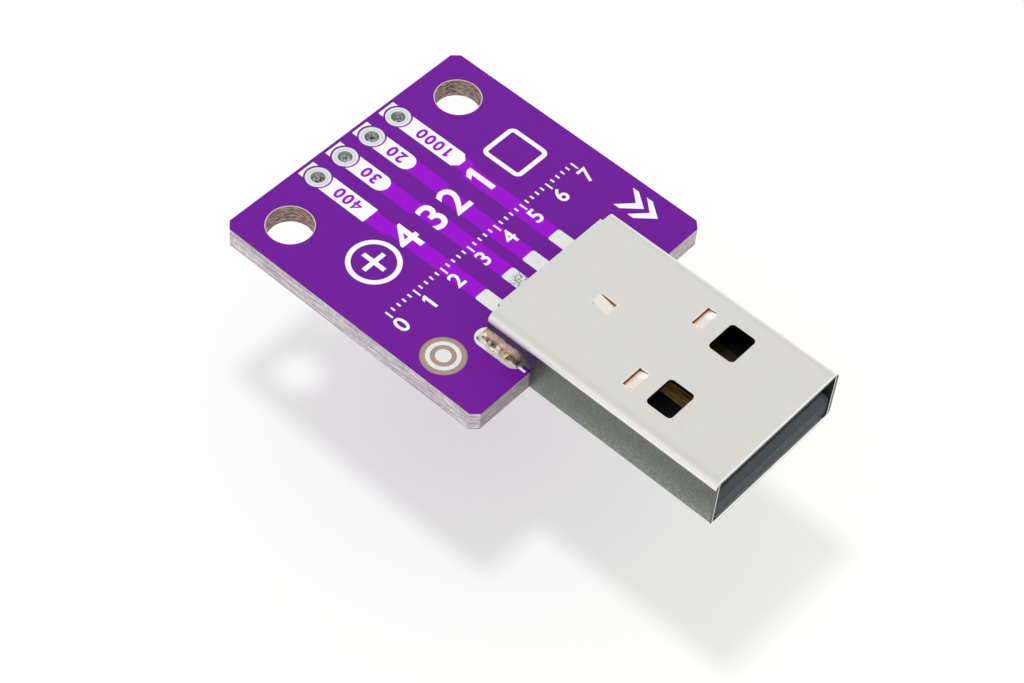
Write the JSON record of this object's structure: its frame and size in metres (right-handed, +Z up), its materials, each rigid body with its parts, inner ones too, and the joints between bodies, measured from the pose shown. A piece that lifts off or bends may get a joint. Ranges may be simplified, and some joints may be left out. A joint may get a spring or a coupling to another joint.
{
  "type": "usb-a breakout board",
  "caption": "Small square circuit board with two mounting holes and a row of header holes, and a rectangular USB type A plug soldered over its front edge.",
  "frame": {"origin": "midway between the two mounting holes, on the board's underside", "axes": "+X points out of the plug's mouth, +Y to the power side of the header row, +Z up out of the board's printed face"},
  "size_m": [0.0368, 0.022, 0.0045],
  "materials": {
    "laminate": "routed glass-epoxy edge with fine layers",
    "solder_mask": "purple solder mask, satin gloss",
    "tinned_copper": "levelled tin, soft sheen",
    "shell_steel": "nickel-plated sheet, satin",
    "insulator_plastic": "moulded black plastic",
    "contact_metal": "gold-plated strip",
    "solder": "bright solder"
  },
  "bodies": {
    "root": {"laminate": "laminate", "solder_mask_top": "solder_mask", "solder_mask_bottom": "solder_mask", "copper_power": "tinned_copper", "copper_data_minus": "tinned_copper", "copper_data_plus": "tinned_copper", "copper_ground": "tinned_copper", "slot_lining_far": "tinned_copper", "slot_lining_near": "tinned_copper", "fiducial_ring": "tinned_copper", "fiducial_dot": "tinned_copper", "plug_shell": "shell_steel", "plug_insulator": "insulator_plastic", "contact_power": "contact_metal", "contact_data_minus": "contact_metal", "contact_data_plus": "contact_metal", "contact_ground": "contact_metal", "tail_solder_power": "solder", "tail_solder_data_minus": "solder", "tail_solder_data_plus": "solder", "tail_solder_ground": "solder", "leg_solder_far": "solder", "leg_solder_near": "solder"}
  },
  "joints": []
}
